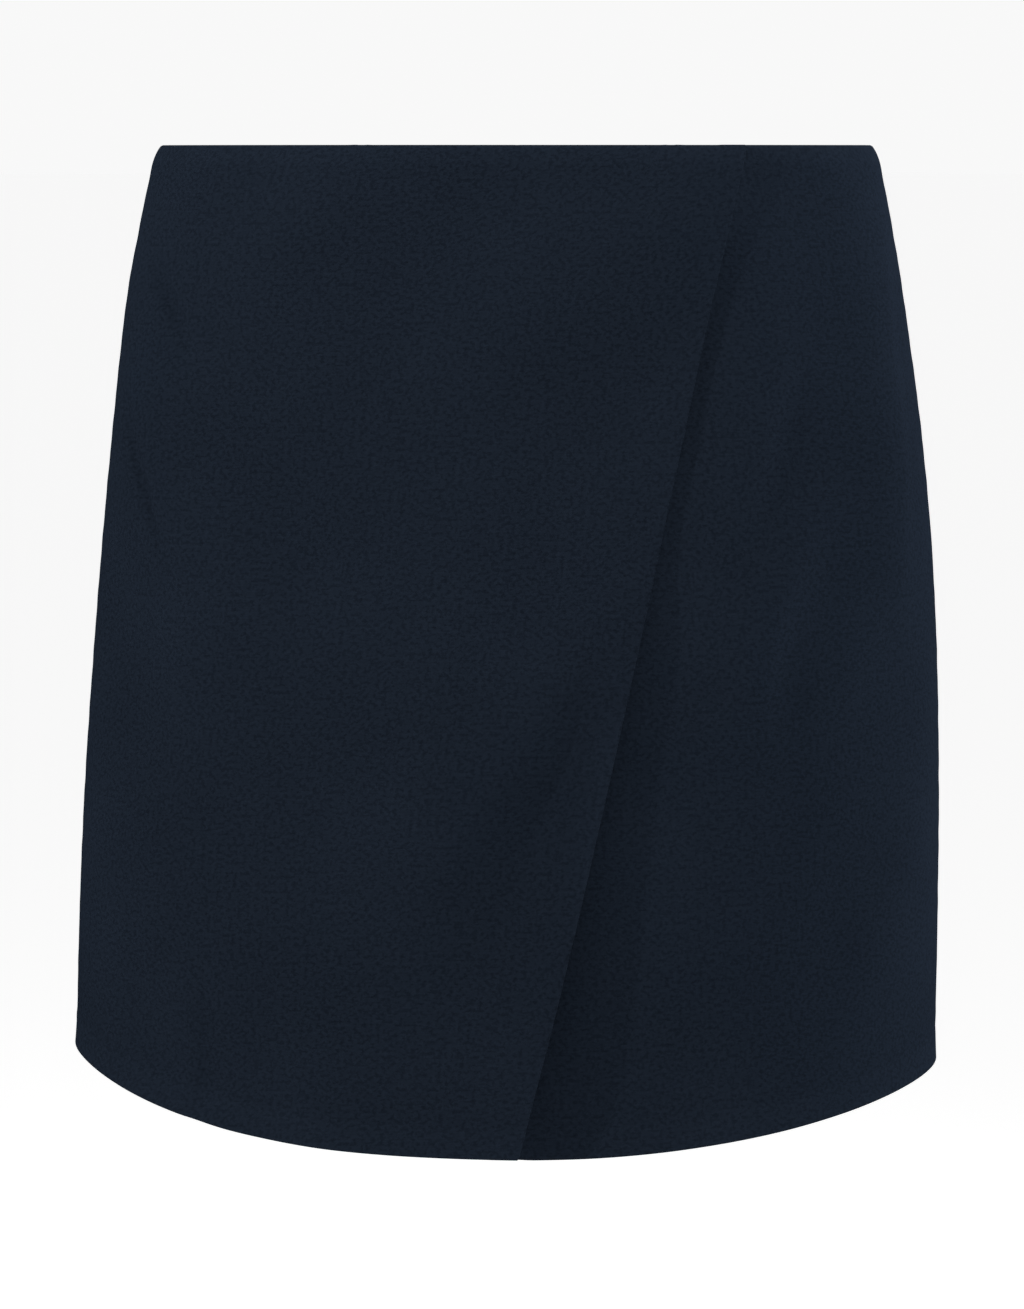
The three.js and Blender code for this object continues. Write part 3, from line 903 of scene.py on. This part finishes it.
def make_drop():
    """The pull: a flat drop with a sunk panel, a window for the bridge and an eye at its end."""
    height = DROP["top"] - DROP["shoulder"]
    drop = start(
        "primitive_plane_add",
        "zip_pull_drop",
        size=1,
        location=(0, (DROP["top"] + DROP["shoulder"]) / 2 * MM, DROP_LOW * MM),
    )
    sized(drop, 2 * DROP["neck"], height, 1)
    edit(drop)
    pick(drop, "EDGE", lambda at, edge: at.y < DROP["shoulder"] + 0.01 and abs(at.x) < 0.01)
    bpy.ops.mesh.extrude_region_move(
        TRANSFORM_OT_translate=push(y=DROP["waist"] - DROP["shoulder"])
    )
    bpy.ops.transform.resize(value=(DROP["half"] / DROP["neck"], 1, 1))
    bpy.ops.mesh.extrude_region_move(
        TRANSFORM_OT_translate=push(y=DROP["panel_end"] - DROP["waist"])
    )
    bpy.ops.mesh.extrude_region_move(TRANSFORM_OT_translate=push(y=DROP_END - DROP["panel_end"]))
    pick(drop, "VERT", lambda at, vertex: at.y < DROP_END + 0.01)
    bpy.ops.mesh.bevel(
        offset=DROP_ROUNDING * DROP["half"] * MM, segments=8, profile=0.5, affect="VERTICES"
    )
    bpy.ops.mesh.select_mode(type="FACE")
    bpy.ops.mesh.select_all(action="SELECT")
    bpy.ops.mesh.normals_make_consistent(inside=False)
    bpy.ops.mesh.extrude_region_move(TRANSFORM_OT_translate=push(z=DROP_HIGH - DROP_LOW))
    bpy.ops.mesh.select_all(action="SELECT")
    bpy.ops.mesh.normals_make_consistent(inside=False)
    panel_middle = (DROP["waist"] + DROP["panel_end"]) / 2
    pick(
        drop,
        "FACE",
        lambda at, face: abs(at.y - panel_middle) < 0.1 and abs(face.normal.z) > 0.9,
    )
    bpy.ops.mesh.inset(thickness=DROP_RECESS["inset"] * MM, depth=-DROP_RECESS["depth"] * MM)
    close_up(drop)

    middle = (DROP_LOW + DROP_HIGH) / 2 * MM
    window = start(
        "primitive_cube_add",
        "window",
        size=1,
        location=(0, (WINDOW["top"] + WINDOW["foot"]) / 2 * MM, middle),
    )
    sized(window, 2 * WINDOW["half"], WINDOW["top"] - WINDOW["foot"], CUTTER)
    combine(drop, window, "DIFFERENCE")
    eye = start(
        "primitive_cylinder_add",
        "eye",
        vertices=24,
        radius=EYE["radius"] * MM,
        depth=CUTTER * MM,
        location=(0, EYE["y"] * MM, middle),
    )
    combine(drop, eye, "DIFFERENCE")
    finish_piece(drop, "pull_tab", "zip_pull_tab")
    return drop


# The coil's tapes lie on the seam allowances inside the back, from the slider down
TAPE = {"near": 1.0, "far": 12.0, "top": 5, "end": 172, "space": 0.3, "thick": 0.4}
TAPE_COLUMNS = 12
COIL = {"pitch": 1.3, "out": 0.95, "reach": 1.25, "round": 0.6, "wire": 0.22, "slant": 9}
COIL_TOP, COIL_END = TAPE["top"] + 3, TAPE["end"] - 2
COIL_SPACE = 0.05
HEAD_WIDENING = 1.5      # how much thicker each loop is at its head


def make_tape(side):
    name = "shorts_back_" + side
    made = cloth[name]
    from_top = made.edges.top[:, -1]
    rows = np.nonzero((from_top > TAPE["top"]) & (from_top < TAPE["end"]))[0]
    away = np.linspace(TAPE["far"], TAPE["near"], TAPE_COLUMNS)

    def beside_seam(grid, row):
        given = made.edges.last[row, ::-1]
        return np.stack([np.interp(away, given, grid[row, ::-1, k]) for k in range(3)], axis=-1)

    base = np.array([beside_seam(made.base, row) for row in rows])
    normals = lengthways(np.array([beside_seam(made.normals, row) for row in rows]))
    outer = base - normals * (CLOTH + TURNING + TAPE["space"])
    inner = outer - normals * TAPE["thick"]
    down = np.broadcast_to(-from_top[rows][:, None], outer.shape[:2])
    uv = np.stack([np.broadcast_to(away, down.shape), down], axis=-1)
    still = np.zeros(down.shape)
    mesh = shell_mesh(
        "zip_tape_" + side, outer, inner, still + EDGE_BULGE, PANELS[name].turn, uv, still
    )
    tape = bpy.data.objects.new("zip_tape_" + side, mesh)
    bpy.context.scene.collection.objects.link(tape)
    mesh.materials.append(weave)
    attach(tape, "garment")
    width, length = TAPE["far"] - TAPE["near"], from_top[rows[-1]] - from_top[rows[0]]
    width * MM
    length * MM
    return tape


def make_coil(side):
    """One side's loops of nylon wire: one loop is shaped, and its copies follow the seam."""
    hand = 1 if side == "left" else -1
    loop = start(
        "primitive_torus_add",
        "zip_coil_" + side,
        major_segments=16,
        minor_segments=6,
        major_radius=COIL["round"] * MM,
        minor_radius=COIL["wire"] * MM,
    )
    edit(loop)
    pick(loop, "VERT", lambda at, vertex: at.x * hand > 0)
    bpy.ops.transform.translate(**push(x=hand * (COIL["reach"] - COIL["round"])))
    pick(loop, "VERT", lambda at, vertex: at.x * hand < -0.3 * COIL["round"])
    bpy.ops.transform.resize(value=(1, 1, HEAD_WIDENING))
    bpy.ops.object.mode_set(mode="OBJECT")
    bpy.ops.object.shade_smooth()

    made = cloth["shorts_back_" + side]
    from_top = made.edges.top[:, -1]
    half_step = COIL["pitch"] / 2 if side == "left" else 0
    places = np.arange(COIL_TOP + half_step, COIL_END, COIL["pitch"])
    line = np.stack([np.interp(places, from_top, made.base[:, -1, k]) for k in range(3)], axis=-1)
    out = np.stack([np.interp(places, from_top, made.normals[:, -3, k]) for k in range(3)], axis=-1)
    depth = CLOTH + TURNING + TAPE["space"] + TAPE["thick"]
    depth += COIL["round"] + COIL["wire"] + COIL_SPACE
    copies = []
    for at, way in zip(line, out):
        inwards = -Vector((0, way[1], way[2])).normalized()
        turn = Matrix((Vector((1, 0, 0)), inwards, Vector((1, 0, 0)).cross(inwards))).transposed()
        copy = loop.copy()
        copy.data = loop.data.copy()
        bpy.context.scene.collection.objects.link(copy)
        place = Vector((hand * COIL["out"] * 0.5, at[1], at[2])) + inwards * depth
        slant = Matrix.Rotation(math.radians(hand * COIL["slant"]), 4, "Y")
        copy.matrix_world = Matrix.Translation(place * MM) @ turn.to_4x4() @ slant
        copies.append(copy)
    bpy.data.objects.remove(loop)
    bpy.ops.object.select_all(action="DESELECT")
    for copy in copies:
        copy.select_set(True)
    bpy.context.view_layer.objects.active = copies[0]
    bpy.ops.object.transform_apply(location=True, rotation=True, scale=True)
    bpy.ops.object.join()
    coil = bpy.context.object
    coil.name = "zip_coil_" + side
    coil.data.name = coil.name
    coil.data.materials.clear()
    coil.data.materials.append(nylon)
    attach(coil, "garment")
    return coil


# ---------------------------------------------------------------- studio

PALE = 0.94              # brightness of the floor and of the horizon behind it
SKY = 0.35               # brightness overhead
SKY_FROM, SKY_FULL = 0.06, 0.5    # heights between which it changes, 1 straight up
FLOOR_GLOW = 0.61

# azimuth and elevation as seen from the garment, 0 straight in front and + to its left
Lamp = namedtuple("Lamp", "name azimuth elevation distance size power")
LAMPS = [
    Lamp("key", -53, 22, 1.6, 0.06, 11.4),
    Lamp("side_right", -90, 60, 0.9, 0.5, 2.0),
    Lamp("top_right", -60, 65, 1.0, 0.5, 2.2),
    Lamp("behind_right", -110, 15, 1.5, 0.7, 5.4),
    Lamp("fill", 45, 32, 1.5, 0.7, 9.2),
    Lamp("side_left", 90, 60, 0.9, 0.5, 3.9),
    Lamp("rim", 113, 9, 1.5, 0.7, 21),
    Lamp("back", 165, 34, 1.6, 0.3, 26),
]
AIM = Vector((0, 0, -0.19))
FLOOR_DROP = 0.95        # from the waist down to the floor
EYE_PLACE = (-0.0018, -1.9, 0)
LOOKING_DOWN = 6.17
FOCAL_LENGTH = 129.9


def add_lamp(lamp):
    light = bpy.data.lights.new(lamp.name, "AREA")
    light.shape = "SQUARE"
    light.size = lamp.size
    light.energy = lamp.power
    azimuth, elevation = math.radians(lamp.azimuth), math.radians(lamp.elevation)
    level = math.cos(elevation)
    way = Vector((math.sin(azimuth) * level, -math.cos(azimuth) * level, math.sin(elevation)))
    stand = bpy.data.objects.new(lamp.name, light)
    stand.location = AIM + way * lamp.distance
    stand.rotation_euler = way.to_track_quat("Z", "Y").to_euler()
    bpy.context.scene.collection.objects.link(stand)


def soft_sky(scene):
    """Light from all round, brightest at the horizon."""
    world = bpy.data.worlds.new("soft_sky")
    scene.world = world
    world.use_nodes = True
    nodes, links = world.node_tree.nodes, world.node_tree.links
    nodes["Background"].inputs["Color"].default_value = (1, 1, 1, 1)
    place = nodes.new("ShaderNodeTexCoord")
    parts = nodes.new("ShaderNodeSeparateXYZ")
    fade = nodes.new("ShaderNodeMapRange")
    fade.interpolation_type = "SMOOTHSTEP"
    limits = {"From Min": SKY_FROM, "From Max": SKY_FULL, "To Min": PALE, "To Max": SKY}
    for name, value in limits.items():
        fade.inputs[name].default_value = value
    links.new(place.outputs["Generated"], parts.inputs[0])
    links.new(parts.outputs["Z"], fade.inputs["Value"])
    links.new(fade.outputs[0], nodes["Background"].inputs["Strength"])


def studio():
    scene = bpy.context.scene
    scene.view_settings.view_transform = "Standard"
    soft_sky(scene)
    bpy.ops.mesh.primitive_plane_add(size=300, location=(0, 0, -FLOOR_DROP))
    floor = bpy.context.object
    floor.name = "floor"
    paper = Finish("floor_paper")
    paper.set(Base_Color=(0.8, 0.8, 0.8, 1), Roughness=1.0, Specular_IOR_Level=0.0)
    paper.set(Emission_Color=(1, 1, 1, 1), Emission_Strength=FLOOR_GLOW)
    floor.data.materials.append(paper.material)
    for lamp in LAMPS:
        add_lamp(lamp)


def camera():
    lens = bpy.data.cameras.new("camera")
    lens.lens = FOCAL_LENGTH
    lens.sensor_width = 36
    eye = bpy.data.objects.new("camera", lens)
    eye.location = EYE_PLACE
    eye.rotation_euler = (math.radians(90 - LOOKING_DOWN), 0, 0)
    bpy.context.scene.collection.objects.link(eye)
    bpy.context.scene.camera = eye


camera()
studio()
twill = navy_twill()
enamel = navy_enamel()
weave = zip_tape_weave()
nylon = coil_nylon()

cloth = {name: make_panel(name) for name in PANELS}
for made in cloth.values():
    made.piece.data.materials.append(twill)

for side in ("right", "left"):
    make_tape(side)
    make_coil(side)
make_slider()
make_drop()
